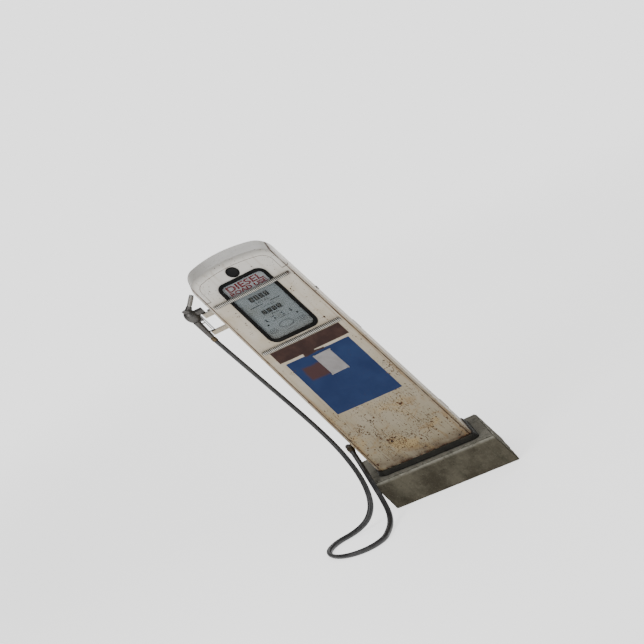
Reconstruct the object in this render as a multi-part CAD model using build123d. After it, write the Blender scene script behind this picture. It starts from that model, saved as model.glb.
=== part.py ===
"""A free-standing fuel dispenser of the 1950s on its concrete plinth, one STEP per sub-part.

Millimetres. The origin is the centre of the plinth's underside, +Z is up, the dial faces -Y,
and the hose and nozzle are on the -X side.
"""
import math
import os

from build123d import *

# --- driving dimensions -------------------------------------------------------------------
PLINTH_W, PLINTH_D, PLINTH_H = 680.0, 500.0, 180.0
FOOT_W, FOOT_D, FOOT_H = 562.0, 408.0, 28.0
BODY_W, BODY_D, BODY_TOP = 530.0, 360.0, 1720.0
BOW = 10.0                       # how far the front and rear faces bulge at their middle
CROWN_R, CORNER_R, EDGE_R = 776.0, 100.0, 38.0
SHEET = 2.0                      # cabinet sheet thickness
SEAM_X, SEAM_TOP, SEAM_GAP = 250.0, 1529.0, 1.5
RIDGE_INSET = 42.0               # how far the covers' arched tops sit inside the outline
DOOR_TOP = 1085.0
RUN = 0.06                       # radial clearance of a running fit

WINDOW_W, WINDOW_H, WINDOW_Z, WINDOW_R = 296.0, 466.0, 1366.0, 50.0
GASKET_BAND, GASKET_PROUD = 22.0, 7.0
BAR_LENGTH, BAR_H, BAR_DEPTH = 470.0, 27.0, 20.0
BAR_TOP_Z, BAR_LOW_Z, RIB_COUNT = 1486.0, 1109.0, 47
PORTHOLE_Z, PORTHOLE_R = 1638.0, 36.0

DIAL_Y, DIAL_T = -172.0, 2.0     # front face and thickness of the dial plate
WHEEL_R, WHEEL_W, WHEEL_PITCH = 33.0, 24.0, 30.0
MONEY_Z, LITRES_Z = 1431.0, 1330.0
PRICE_R, PRICE_W, PRICE_PITCH, PRICE_Z = 14.0, 14.0, 50.0, 1279.0
SHAFT_R, PRICE_SHAFT_R, CHEEK_X = 5.0, 3.0, 100.0

MOTOR_Y, MOTOR_Z, MOTOR_R = 66.0, 335.0, 62.0
PUMP_Y, PUMP_Z, PUMP_R = -66.0, 335.0, 56.0
PULLEY_X, MOTOR_PULLEY_R, PUMP_PULLEY_R = 120.0, 32.0, 56.0
SUCTION_X, SUCTION_R = 36.0, 24.0
METER_X, METER_Z, VARIATOR_Z = 95.0, 560.0, 1150.0

OUTLET_Y, OUTLET_Z = 88.0, 328.0
ELBOW_R = 20.0
SWITCH_Y, SWITCH_Z = 48.0, 1375.0
RESET_Z = 1290.0
HINGE_X, HINGE_Y, HINGE_LEVELS = 250.0, 186.0, (330.0, 960.0)
HINGE_HALF_H, HINGE_KNUCKLE_R = 30.0, 6.0
LOCK_X, LOCK_Z = -215.0, 650.0
REAR_SCREW_X, REAR_SCREW_LEVELS = 215.0, (1120.0, 1310.0, 1500.0)
LOUVRE_LEVELS, LOUVRE_ROWS, LOUVRE_PITCH, LOUVRE_W, LOUVRE_H = (300.0, 900.0), 6, 22.0, 180.0, 7.0
HORN_TOP, HORN_LOW = 1447.0, 1327.0      # upper faces of the bracket's two horns

# the nozzle hangs upright in the plane Y = 0
NOZZLE_X, NOZZLE_LOW, GRIP_LOW, BULB_Z = -390.0, 1262.0, 1295.0, 1463.0
LEVER_X, LEVER_Z = -353.0, 1420.0

# middle line of the hose, from its coupling low on the left side to the nozzle's swivel
HOSE_R = 14.0
HOSE_ROUTE = [
    (-303, 27, 309), (-307, -50, 285), (-312, -138, 262), (-320, -230, 231), (-334, -304, 174),
    (-352, -362, 106), (-372, -432, 52), (-402, -510, 22), (-436, -598, 14.5), (-476, -694, 14.5),
    (-575, -752, 14.5), (-688, -735, 14.5), (-764, -650, 14.5), (-770, -535, 14.5), (-701, -444, 14.5),
    (-600, -415, 17), (-510, -396, 40), (-440, -380, 88), (-392, -352, 150), (-360, -290, 222),
    (-342, -210, 300), (-332, -120, 420), (-340, -50, 590), (-360, 3, 815), (-378, 4, 1075),
    (-390, 0, 1262),
]

HALF_W, FRONT_Y = BODY_W / 2, BODY_D / 2 + BOW
BOW_R = (HALF_W ** 2 + BOW ** 2) / (2 * BOW)
BOW_Y = BOW_R - FRONT_Y          # Y of the axis that the front face bows around
BODY_BASE = PLINTH_H + FOOT_H
WHEEL_X = [WHEEL_PITCH * (i - 1.5) for i in range(4)]
PRICE_X = [PRICE_PITCH * (i - 1.5) for i in range(4)]
WHEEL_Y = DIAL_Y + DIAL_T + 1.5 + WHEEL_R
PRICE_Y = DIAL_Y + DIAL_T + 1.5 + PRICE_R


# --- helpers ------------------------------------------------------------------------------
def box(x0, x1, y0, y1, z0, z1):
    """A block between two corners."""
    return Pos((x0 + x1) / 2, (y0 + y1) / 2, (z0 + z1) / 2) * Box(x1 - x0, y1 - y0, z1 - z0)


def side_box(side, x0, x1, y0, y1, z0, z1):
    """A block given on the +X side, put on side -1 or 1."""
    xs = sorted((side * x0, side * x1))
    return box(*xs, y0, y1, z0, z1)


def rod(radius, start, end):
    """A round bar from one point to another."""
    a, b = Vector(start), Vector(end)
    return Plane(origin=(a + b) * 0.5, z_dir=b - a) * Cylinder(radius, (b - a).length)


def cone(radius_a, radius_b, start, end):
    """A round taper from one point to another."""
    a, b = Vector(start), Vector(end)
    return Plane(origin=(a + b) * 0.5, z_dir=b - a) * Cone(radius_a, radius_b, (b - a).length)


def pipe(outer, inner, start, end):
    """A round tube from one point to another."""
    return rod(outer, start, end) - rod(inner, start, end)


def swept(radius, points, bend):
    """A round bar along straight runs joined by arcs of one radius."""
    line = FilletPolyline(*points, radius=bend)
    return sweep(Plane(origin=line @ 0, z_dir=line % 0) * Circle(radius), path=line)


def save(name, *shapes):
    """Writes one sub-part; several shapes stay separate solids of one node."""
    solids = [solid for shape in shapes for solid in shape.solids()]
    whole = solids[0] if len(solids) == 1 else Compound(children=solids)
    export_step(whole, f"parts/{name}.step")


# --- cabinet ------------------------------------------------------------------------------
def outline(inset, base):
    """Front view of the cabinet: straight sides, round shoulders and a shallow crowned top."""
    half, shoulder, crown = HALF_W - inset, CORNER_R - inset, CROWN_R - inset
    centre_x, crown_z = HALF_W - CORNER_R, BODY_TOP - CROWN_R
    centre_z = crown_z + math.sqrt((CROWN_R - CORNER_R) ** 2 - centre_x ** 2)
    turn = math.degrees(math.atan2(centre_z - crown_z, centre_x))
    return make_face([
        Line((-half, base), (half, base)),
        Line((half, base), (half, centre_z)),
        CenterArc((centre_x, centre_z), shoulder, 0, turn),
        CenterArc((0, crown_z), crown, turn, 180 - 2 * turn),
        CenterArc((-centre_x, centre_z), shoulder, 180 - turn, turn),
        Line((-half, centre_z), (-half, base)),
    ])


def cabinet(inset, base=BODY_BASE):
    """The cabinet as one solid: its outline in depth, with bowed faces and round edges."""
    solid = extrude(Plane.XZ * outline(inset, base), FRONT_Y + 20, both=True)
    for side in (1, -1):
        solid &= Pos(0, side * BOW_Y, BODY_TOP / 2) * Cylinder(BOW_R - inset, 2 * BODY_TOP)
    faces = solid.faces().sort_by(Axis.Y)
    rims = [e for f in (faces[0], faces[-1]) for e in f.edges() if e.center().Z > base + 1]
    return fillet(rims, EDGE_R - inset)


def cover_region(gap, side):
    """The space that holds the front (-1) or rear (1) cover, grown all round by a gap."""
    low, top = BODY_BASE - 20, SEAM_TOP + gap
    face = outline(RIDGE_INSET - gap, low) - Pos(0, (low + top) / 2) * Rectangle(BODY_W, top - low)
    face += Pos(0, (low + top) / 2) * Rectangle(2 * (SEAM_X + gap), top - low)
    block = Pos(0, -60, 0) * extrude(Plane.XZ * face, 160)
    return block if side < 0 else mirror(block, Plane.XZ)


def window_block(grow):
    """The dial window's opening as a block in depth, grown all round."""
    face = RectangleRounded(WINDOW_W + 2 * grow, WINDOW_H + 2 * grow, WINDOW_R + grow)
    return extrude(Plane.XZ * (Pos(0, WINDOW_Z) * face), 300)


def front_skin(low, high):
    """The layer between two heights above the bowed front face, round the dial window."""
    drum = Cylinder(BOW_R + high, 600) - Cylinder(BOW_R + low, 600)
    return (Pos(0, BOW_Y, WINDOW_Z) * drum) & box(-260, 260, -260, -100, 1080, 1700)


def make_cabinet():
    body = cabinet(0)
    shell = body - cabinet(SHEET, BODY_BASE - 30)
    half_gap = SEAM_GAP / 2
    rest = shell - cover_region(half_gap, -1) - cover_region(half_gap, 1)
    save("hood", rest & box(-400, 400, -400, 400, SEAM_TOP + half_gap, BODY_TOP + 50))
    left = rest & box(-400, 0, -400, 400, 0, SEAM_TOP - half_gap)
    left -= rod(20.2, (-300, OUTLET_Y, OUTLET_Z), (-200, OUTLET_Y, OUTLET_Z))
    left -= rod(8 + RUN, (-300, SWITCH_Y, SWITCH_Z), (-200, SWITCH_Y, SWITCH_Z))
    save("side_panel_left", left)
    right = rest & box(0, 400, -400, 400, 0, SEAM_TOP - half_gap)
    save("side_panel_right", right - rod(SHAFT_R + RUN, (200, 0, RESET_Z), (300, 0, RESET_Z)))

    front = (shell & cover_region(-half_gap, -1)) - window_block(-10)
    front -= rod(PORTHOLE_R - 2, (0, -300, PORTHOLE_Z), (0, -100, PORTHOLE_Z))
    save("front_cover", front)
    make_rear(shell & cover_region(-half_gap, 1), body)


def make_rear(rear, body):
    """The fixed upper rear panel, the service door under it, its hinges and its lock."""
    half_gap = SEAM_GAP / 2
    panel = rear & box(-400, 400, 0, 400, DOOR_TOP + half_gap, BODY_TOP)
    door = rear & box(-400, 400, 0, 400, BODY_BASE + 6, DOOR_TOP - half_gap)
    screws = []
    for side in (-1, 1):
        for z in REAR_SCREW_LEVELS:
            x = side * REAR_SCREW_X
            panel -= rod(3.2, (x, 150, z), (x, 200, z))
            screws.append(rod(3, (x, 176, z), (x, 184, z)) + rod(6.5, (x, 184, z), (x, 187, z)))
    save("rear_panel", panel)
    save("cover_screws", *screws)

    for base in LOUVRE_LEVELS:
        for row in range(LOUVRE_ROWS):
            z = base + LOUVRE_PITCH * row
            door -= box(-LOUVRE_W / 2, LOUVRE_W / 2, 150, 220, z, z + LOUVRE_H)
    door -= rod(8 + RUN, (LOCK_X, 100, LOCK_Z), (LOCK_X, 220, LOCK_Z))
    save("rear_door", door)

    skin = cabinet(-3) - body
    leaves, brackets = [], []
    for z in HINGE_LEVELS:
        axis = (HINGE_X, HINGE_Y)
        low, high = z - HINGE_HALF_H, z + HINGE_HALF_H
        leaf = skin & box(200, HINGE_X - 1, 100, 220, low, high)
        leaf += box(HINGE_X - 9, HINGE_X - 1, 168, HINGE_Y, z - 9.5, z + 9.5) - body
        leaf += rod(HINGE_KNUCKLE_R, (*axis, z - 9.5), (*axis, z + 9.5))
        leaves.append(leaf - rod(3 + RUN, (*axis, low - 1), (*axis, high + 1)))
        bracket = skin & box(HINGE_X + 1, 270, 130, 220, low, high)
        for start in (low, z + 10):
            bracket += box(HINGE_X + 1, HINGE_X + 6, 160, HINGE_Y, start, start + 20) - body
            bracket += rod(HINGE_KNUCKLE_R, (*axis, start), (*axis, start + 20))
        brackets.append(bracket + rod(3, (*axis, low), (*axis, high)))
    save("door_hinge_leaves", *leaves)
    save("door_hinge_brackets", *brackets)

    lock = rod(8, (LOCK_X, 158, LOCK_Z), (LOCK_X, 186, LOCK_Z))
    lock += rod(17, (LOCK_X, 185.4, LOCK_Z), (LOCK_X, 189, LOCK_Z))
    grip = box(LOCK_X - 6, LOCK_X + 6, 189, 204, LOCK_Z - 34, LOCK_Z + 34)
    lock += fillet(grip.edges().filter_by(Axis.Y), 5)
    lock += box(LOCK_X - 10, LOCK_X + 10, 158, 162, LOCK_Z - 10, LOCK_Z + 38)
    save("door_lock", lock)


def make_window():
    """Rubber gasket, pane and the round lens above them."""
    band = window_block(0) - window_block(-GASKET_BAND)
    lip = front_skin(0, GASKET_PROUD) & band
    outer = [e for e in lip.edges() if e.center().Y < -FRONT_Y - GASKET_PROUD + 4.5]
    crest = [e for e in outer if edge_height(e) > GASKET_PROUD - 0.5]
    lip = fillet(crest, 3.0)
    neck = front_skin(-SHEET - 4, 0) & (window_block(-10.2) - window_block(-GASKET_BAND))
    groove = front_skin(-3.6, 0.6) & window_block(-16.8)
    save("window_gasket", lip + neck - groove)
    save("window_glass", front_skin(-3.5, 0.5) & window_block(-17))

    y = -FRONT_Y
    grommet = pipe(PORTHOLE_R, PORTHOLE_R - 7, (0, y - 3.5, PORTHOLE_Z), (0, y + 6, PORTHOLE_Z))
    seat = pipe(PORTHOLE_R + 3, PORTHOLE_R - 2.2, (0, y - 0.2, PORTHOLE_Z), (0, y + 7, PORTHOLE_Z))
    pocket = rod(PORTHOLE_R - 4, (0, y + 1.9, PORTHOLE_Z), (0, y + 5.1, PORTHOLE_Z))
    save("porthole_grommet", grommet - seat - pocket)
    save("porthole_lens", rod(PORTHOLE_R - 4.1, (0, y + 2, PORTHOLE_Z), (0, y + 5, PORTHOLE_Z)))


def edge_height(edge):
    """How far an edge's middle stands above the bowed front face."""
    middle = edge @ 0.5
    return math.hypot(middle.X, middle.Y - BOW_Y) - BOW_R


def bar_arc(z, depth, height, degrees, turn):
    """A half-round bar that follows the front face through some degrees, from a middle angle."""
    half = height / 2
    face = Ellipse(depth, half) & Pos(depth, 0) * Rectangle(2 * depth, 2 * height)
    section = Plane(origin=(0, -FRONT_Y, z), x_dir=(0, -1, 0), z_dir=(1, 0, 0)) * face
    solid = revolve(section, Axis((0, BOW_Y, 0), (0, 0, 1)), degrees)
    return solid.rotate(Axis((0, BOW_Y, 0), (0, 0, 1)), turn - degrees / 2)


def make_bar(name, z, relief):
    """A fluted trim bar: a plain core with raised ribs, cut away over the gasket if it crosses it."""
    sweep_deg = math.degrees(BAR_LENGTH / BOW_R)
    rib_deg = sweep_deg / RIB_COUNT
    first = (rib_deg - sweep_deg) / 2
    bar = bar_arc(z, BAR_DEPTH - 3, BAR_H - 4, sweep_deg, 0)
    for i in range(RIB_COUNT):
        bar += bar_arc(z, BAR_DEPTH, BAR_H, rib_deg * 0.55, first + i * rib_deg)
    save(name, bar - relief if relief else bar)


# --- base and frame -----------------------------------------------------------------------
ANCHORS = [(x, y) for x in (-190.0, 190.0) for y in (-120.0, 120.0)]
ANGLE, ANGLE_T, RAIL_T = 30.0, 3.0, 4.0
POST_X, POST_Y, POST_TOP = HALF_W - SHEET - 0.5, 140.0, 1560.0
RAIL_LEVELS = (BODY_BASE, DOOR_TOP, 1495.0)
DECK_Z, SHELF_Z = BODY_BASE + ANGLE, DOOR_TOP + ANGLE


def make_base():
    plinth = box(-PLINTH_W / 2, PLINTH_W / 2, -PLINTH_D / 2, PLINTH_D / 2, 0, PLINTH_H)
    plinth = fillet([e for e in plinth.edges() if e.center().Z > 1], 9)
    for x, y in ANCHORS:
        plinth -= rod(8.2, (x, y, 60), (x, y, PLINTH_H + 1))
    plinth -= rod(SUCTION_R + 12, (SUCTION_X, PUMP_Y, -1), (SUCTION_X, PUMP_Y, PLINTH_H + 1))
    save("concrete_plinth", plinth)

    foot = extrude(Pos(0, 0, PLINTH_H) * RectangleRounded(FOOT_W, FOOT_D, 52), FOOT_H, taper=18)
    foot -= extrude(Pos(0, 0, PLINTH_H + 6) * RectangleRounded(460, 300, 30), FOOT_H)
    foot -= extrude(Pos(0, 0, PLINTH_H - 1) * RectangleRounded(300, 200, 20), FOOT_H)
    for x, y in ANCHORS:
        foot -= rod(9, (x, y, PLINTH_H - 1), (x, y, PLINTH_H + 8))
    save("foot_tray", foot)

    bolts = []
    for x, y in ANCHORS:
        bolt = rod(8, (x, y, 60), (x, y, PLINTH_H + 26))
        bolt += extrude(Pos(x, y, PLINTH_H + 9) * RegularPolygon(13, 6), 13)
        bolts.append(bolt + rod(17, (x, y, PLINTH_H + 6), (x, y, PLINTH_H + 9)))
    save("anchor_bolts", *bolts)


def make_frame():
    """Four angle-iron posts, with flat rails between them at three levels, a deck and a shelf."""
    posts, rails = [], []
    flange = POST_X - ANGLE_T
    for side in (-1, 1):
        for y0, y1, t0, t1 in ((POST_Y - ANGLE, POST_Y, POST_Y - ANGLE_T, POST_Y),
                               (-POST_Y, ANGLE - POST_Y, -POST_Y, ANGLE_T - POST_Y)):
            post = side_box(side, POST_X - ANGLE, POST_X, t0, t1, BODY_BASE, POST_TOP)
            posts.append(post + side_box(side, flange, POST_X, y0, y1, BODY_BASE, POST_TOP))
    inner_y = POST_Y - ANGLE_T
    for z in RAIL_LEVELS:
        for side in (-1, 1):
            ys = sorted((side * inner_y, side * (inner_y - RAIL_T)))
            rails.append(box(-flange, flange, *ys, z, z + ANGLE))
            reach = inner_y - RAIL_T
            rails.append(side_box(side, flange - RAIL_T, flange, -reach, reach, z, z + ANGLE))
    save("frame_posts", *posts)
    save("frame_rails", *rails)

    deck = box(-flange, flange, -inner_y, inner_y, DECK_Z, DECK_Z + 4)
    deck -= rod(SUCTION_R + 4, (SUCTION_X, PUMP_Y, DECK_Z - 1), (SUCTION_X, PUMP_Y, DECK_Z + 6))
    save("deck_plate", deck)
    shelf = box(-flange, flange, -inner_y, inner_y, SHELF_Z, SHELF_Z + 3)
    save("register_shelf", shelf - rod(12, (METER_X, 0, SHELF_Z - 1), (METER_X, 0, SHELF_Z + 5)))


# --- hydraulics ---------------------------------------------------------------------------
PULLEY_W = 20.0


def pulley(radius, y, z):
    """A V-groove pulley on the X direction."""
    start, end = (PULLEY_X - PULLEY_W / 2, y, z), (PULLEY_X + PULLEY_W / 2, y, z)
    low, high = radius - 3.2, radius + 6
    groove = Polyline((-4.9, low), (4.9, low), (6.6, high), (-6.6, high), close=True)
    plane = Plane(origin=(PULLEY_X, y, z), x_dir=(1, 0, 0), z_dir=(0, -1, 0))
    return rod(radius + 5, start, end) - revolve(plane * make_face(groove), Axis((0, y, z), (1, 0, 0)))


def make_motor():
    y, z, r = MOTOR_Y, MOTOR_Z, MOTOR_R
    stator = rod(r, (-150, y, z), (40, y, z))
    for i in range(16):
        fin = box(-140, 30, -1.5, 1.5, r - 3, r + 5)
        stator += Pos(0, y, z) * fin.rotate(Axis.X, 22.5 * i + 11.25)
    stator += rod(r - 8, (-165, y, z), (55, y, z)) + rod(22, (55, y, z), (64, y, z))
    stator += box(-110, 0, y - 46, y + 46, DECK_Z + 4, z - r + 14)
    terminal = box(-90, -20, y - 33, y + 33, z + r - 4, z + r + 36)
    stator += fillet(terminal.edges().filter_by(Axis.Z), 6)
    save("motor", stator - rod(10 + RUN, (30, y, z), (80, y, z)))
    save("motor_pulley", pulley(MOTOR_PULLEY_R, y, z) + rod(10, (32, y, z), (PULLEY_X + 16, y, z)))


def make_belt():
    """A V-belt as the band between the hulls of two pairs of circles."""
    def band(grow):
        pair = ((MOTOR_Y, MOTOR_Z, MOTOR_PULLEY_R + grow), (PUMP_Y, PUMP_Z, PUMP_PULLEY_R + grow))
        edges = [(Pos(y, z) * Circle(r)).edge() for y, z, r in pair]
        return extrude(Plane.YZ * make_hull(edges), 9)
    save("drive_belt", Pos(PULLEY_X - 4.5, 0, 0) * (band(3.5) - band(-2.6)))


def make_pump_unit():
    y, z, bore = PUMP_Y, PUMP_Z, 42.0
    case = rod(PUMP_R, (-10, y, z), (82, y, z))
    case += box(SUCTION_X - 36, SUCTION_X + 36, y - 36, y + 36, DECK_Z + 4, z)
    case += rod(34, (SUCTION_X, y, z + 30), (SUCTION_X, y, z + 82))
    case -= rod(bore, (6, y, z), (66, y, z))
    case -= rod(SUCTION_R + 0.2, (SUCTION_X, y, DECK_Z - 10), (SUCTION_X, y, z))
    case -= rod(14, (SUCTION_X, y, z), (SUCTION_X, y, z + 90))
    save("pump_case", case - rod(10 + RUN, (60, y, z), (90, y, z)))

    rotor = rod(34, (6.5, y, z), (65.5, y, z)) + rod(10, (60, y, z), (PULLEY_X + 16, y, z))
    for i in range(4):
        vane = box(8, 64, -2, 2, 30, bore - 0.6)
        rotor += Pos(0, y, z) * vane.rotate(Axis.X, 90 * i)
    save("pump_rotor", rotor + pulley(PUMP_PULLEY_R, y, z))
    save("suction_pipe", pipe(SUCTION_R, 20, (SUCTION_X, y, 2), (SUCTION_X, y, DECK_Z + 24)))


def make_separator():
    """The air separator tank over the pump, and the pipe from it to the meter."""
    x, y, top, r = SUCTION_X, PUMP_Y, PUMP_Z + 82, 50.0
    tank_x, low, high = x - 70, top + 18, top + 250
    tank = fillet(rod(r, (tank_x, y, low), (tank_x, y, high)).edges(), 22)
    neck = rod(16, (x, y, top), (x, y, top + 16))
    neck += rod(16, (x, y, top + 12), (x - 40, y, low + 44))
    hollow = fillet(rod(r - 4, (tank_x, y, low + 4), (tank_x, y, high - 4)).edges(), 18)
    save("air_separator", tank + neck - hollow)
    bend_z, inlet_z = high - 70, METER_Z - 34
    line = [(tank_x + r - 3, y, bend_z), (METER_X, y, bend_z), (METER_X, y, inlet_z), (METER_X, -40, inlet_z)]
    transfer = swept(11, line, 14) - rod(r, (tank_x, y, low), (tank_x, y, high))
    outlet_z = METER_Z - 48
    outlet = [(METER_X - 40, 0, outlet_z), (-205, 0, outlet_z), (-205, OUTLET_Y, OUTLET_Z),
              (-253, OUTLET_Y, OUTLET_Z)]
    save("fuel_pipes", transfer, swept(13, outlet, 25))


def make_meter():
    """Piston meter with three cylinders, and the upright shaft from it to the register."""
    x, z = METER_X, METER_Z
    body = box(x - 40, x + 40, -40, 40, z - 60, z + 40)
    for dx, dy in ((1, 0), (-1, 0), (0, 1)):
        body += rod(33, (x, 0, z + 4), (x + 70 * dx, 70 * dy, z + 4))
        body += rod(38, (x + 70 * dx, 70 * dy, z + 4), (x + 80 * dx, 80 * dy, z + 4))
    body += rod(36, (x, 0, z + 40), (x, 0, z + 58)) + rod(20, (x, 0, z + 58), (x, 0, z + 72))
    save("meter", body - rod(7 + RUN, (x, 0, z + 30), (x, 0, z + 90)))
    shaft = rod(7, (x, 0, z + 32), (x, 0, VARIATOR_Z + 10))
    save("meter_shaft", shaft + rod(13, (x, 0, z + 300), (x, 0, z + 340)))


# --- register -----------------------------------------------------------------------------
def number_wheel(x, y, z, radius, width, bore):
    """A number wheel on the X direction, dished on both sides."""
    half = width / 2
    wheel = rod(radius, (x - half, y, z), (x + half, y, z))
    for side in (-1, 1):
        ends = (x + side * (half - 6), y, z), (x + side * (half + 1), y, z)
        wheel -= pipe(radius - 3, bore + 4, *ends)
    return wheel - rod(bore + RUN, (x - half - 1, y, z), (x + half + 1, y, z))


def make_dial():
    face = Pos(0, WINDOW_Z) * RectangleRounded(WINDOW_W - 8, WINDOW_H - 8, WINDOW_R - 4)
    for x in WHEEL_X:
        face -= Pos(x, MONEY_Z) * Rectangle(25, 33)
        face -= Pos(x, LITRES_Z) * Rectangle(25, 28)
    for x in PRICE_X:
        face -= Pos(x, PRICE_Z) * Rectangle(PRICE_W + 2, 22)
    plane = Plane(origin=(0, DIAL_Y, 0), x_dir=(1, 0, 0), z_dir=(0, -1, 0))
    save("dial_plate", extrude(plane * face, -DIAL_T))
    save("grade_plate", box(-124, 124, DIAL_Y - 2, DIAL_Y, BAR_TOP_Z - 14, BAR_TOP_Z + 84))


def make_register():
    for name, z in (("money", MONEY_Z), ("litres", LITRES_Z)):
        for i, x in enumerate(WHEEL_X):
            save(f"{name}_wheel_{4 - i}", number_wheel(x, WHEEL_Y, z, WHEEL_R, WHEEL_W, SHAFT_R))
    price = [number_wheel(x, PRICE_Y, PRICE_Z, PRICE_R, PRICE_W, PRICE_SHAFT_R) for x in PRICE_X]
    save("price_wheels", *price)

    axles = ((SHAFT_R, WHEEL_Y, MONEY_Z), (SHAFT_R, WHEEL_Y, LITRES_Z), (PRICE_SHAFT_R, PRICE_Y, PRICE_Z))
    save("register_shafts", *[rod(r, (-CHEEK_X, y, z), (CHEEK_X, y, z)) for r, y, z in axles])
    cheeks = []
    for side in (-1, 1):
        cheek = side_box(side, CHEEK_X - 4, CHEEK_X, DIAL_Y + DIAL_T, -60, VARIATOR_Z + 60, 1490)
        for r, y, z in axles:
            cheek -= rod(r, (-200, y, z), (200, y, z))
        cheeks.append(cheek)
    save("register_cheeks", *cheeks)

    case = box(-120, 130, -100, 60, VARIATOR_Z, VARIATOR_Z + 60)
    case = fillet(case.edges().filter_by(Axis.Z), 10)
    for x in (-100, 50):
        case += box(x, x + 16, -90, 50, SHELF_Z + 3, VARIATOR_Z)
    save("price_variator", case - rod(7 + RUN, (METER_X, 0, VARIATOR_Z - 1), (METER_X, 0, VARIATOR_Z + 12)))

    knob = rod(SHAFT_R, (215, 0, RESET_Z), (HALF_W + 4, 0, RESET_Z))
    knob += rod(13, (HALF_W + 1, 0, RESET_Z), (HALF_W + 9, 0, RESET_Z))
    save("reset_knob", knob - box(HALF_W + 5, HALF_W + 10, -2, 2, RESET_Z - 9, RESET_Z + 9))


def make_lamp():
    y, z, strip_y = -160.0, 1612.0, ANGLE_T + RAIL_T - POST_Y
    save("dial_lamp", rod(13, (-105, y, z), (105, y, z)))
    holder = box(-120, 120, strip_y, strip_y + 3, 1500, 1640)
    for side in (-1, 1):
        holder += side_box(side, 92, 98, y + 14, strip_y, z - 9, z + 9)
        holder += pipe(16, 13, (side * 85, y, z), (side * 105, y, z))
    save("lamp_holder", holder)


# --- nozzle and hose ----------------------------------------------------------------------
def make_bracket():
    """The C-shaped bracket on the left side that the nozzle hangs on."""
    x = -HALF_W
    web = box(x - 6, x, -24, 24, 1290, HORN_TOP + 14)
    upper = box(-332, x - 6, -20, 20, HORN_TOP - 30, HORN_TOP)
    lower = box(-368, x - 6, -20, 20, HORN_LOW - 25, HORN_LOW)
    upper = fillet(upper.edges().filter_by(Axis.Z).group_by(Axis.X)[0], 14)
    lower = fillet(lower.edges().filter_by(Axis.Z).group_by(Axis.X)[0], 14)
    bracket = fillet(web.edges().filter_by(Axis.X), 8) + upper + lower
    save("nozzle_bracket", bracket)

    lever = rod(8, (x + 22, SWITCH_Y, SWITCH_Z), (x - 4, SWITCH_Y, SWITCH_Z))
    lever += rod(14, (x - 1, SWITCH_Y, SWITCH_Z), (x - 14, SWITCH_Y, SWITCH_Z))
    arm = box(x - 13, x - 6, SWITCH_Y - 8, SWITCH_Y + 8, SWITCH_Z, SWITCH_Z + 74)
    lever += arm + rod(9, (x - 30, SWITCH_Y, SWITCH_Z + 66), (x - 6, SWITCH_Y, SWITCH_Z + 66))
    save("switch_lever", lever)


def make_nozzle():
    x = NOZZLE_X
    grip = cone(16, 21, (x, 0, GRIP_LOW), (x, 0, LEVER_Z))
    bulb = Pos(x + 6, 0, BULB_Z) * scale(Sphere(42), by=(1, 0.86, 1.19))
    boss = rod(22, (x + 6, 0, 1471), (-306, 0, 1471)) + box(-330, -308, -10, 10, HORN_TOP + 0.4, 1460)
    cap = rod(27, (x + 6, 0, 1492), (x + 6, 0, 1516))
    tip, root = Vector(-290, 0, 1585), Vector(-352, 0, 1527)
    along = (tip - root).normalized()
    socket = cone(20, 15, root - along * 38, root)
    guard = box(-345, -340, -7, 7, 1329, 1462) + box(-378, -340, -7, 7, 1329, 1334)
    ears = box(-374, -347, -8, -5, 1411, 1446) + box(-374, -347, 5, 8, 1411, 1446)
    pin = rod(3, (LEVER_X, -8, LEVER_Z), (LEVER_X, 8, LEVER_Z))
    body = grip + bulb + boss + cap + socket + guard + ears + pin
    body -= box(-364, -346, -5, 5, 1408, 1432) - pin
    body -= rod(3.5 + RUN, (-360, 0, LEVER_Z - 25), (-393, 0, LEVER_Z - 25))
    save("nozzle_body", body)

    save("nozzle_spout", rod(12, root, tip) - rod(10, root + along * 8, tip + along))
    neck_z = GRIP_LOW - 8
    swivel = rod(16.5, (x, 0, NOZZLE_LOW + 1.5), (x, 0, neck_z)) + rod(13, (x, 0, neck_z), (x, 0, GRIP_LOW))
    save("hose_swivel", swivel)

    lever = rod(6, (LEVER_X, -4.5, LEVER_Z), (LEVER_X, 4.5, LEVER_Z))
    lever += box(LEVER_X - 3, LEVER_X + 3, -4.5, 4.5, 1395, LEVER_Z)
    lever += box(LEVER_X - 3, LEVER_X + 3, -8, 8, 1342, 1404)
    save("trigger_lever", lever - rod(3 + RUN, (LEVER_X, -9, LEVER_Z), (LEVER_X, 9, LEVER_Z)))
    save("valve_stem", rod(3.5, (-357.2, 0, LEVER_Z - 25), (-386, 0, LEVER_Z - 25)))


def make_outlet():
    """The elbow low on the left side, and the tapered coupling that the hose leaves."""
    start = Vector(-HALF_W - 35, OUTLET_Y, OUTLET_Z)
    end = Vector(*HOSE_ROUTE[0])
    along = (end - start).normalized()
    elbow = rod(16, (-HALF_W + 12, OUTLET_Y, OUTLET_Z), start)
    elbow += rod(34, (-HALF_W - 8, OUTLET_Y, OUTLET_Z), (-HALF_W, OUTLET_Y, OUTLET_Z))
    # the ball's seam is turned to the left, away from both of its openings
    elbow += Pos(*start) * Rot(0, 0, 180) * Sphere(ELBOW_R)
    elbow += rod(17, start, start + along * 24)
    save("outlet_elbow", elbow)
    collar = rod(20, start + along * 24, start + along * 34)
    save("hose_coupling", collar + cone(19, 15.5, start + along * 34, end))


def corner_radii(route):
    """The largest arc at each corner of a route: 0.45 of its shorter run over tan(half the turn)."""
    points = [Vector(*p) for p in route]
    radii = []
    for before, here, after in zip(points, points[1:], points[2:]):
        turn = (here - before).get_angle(after - here)
        shorter = min((here - before).length, (after - here).length)
        radii.append(0.45 * shorter / math.tan(math.radians(turn / 2)))
    return radii


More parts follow.
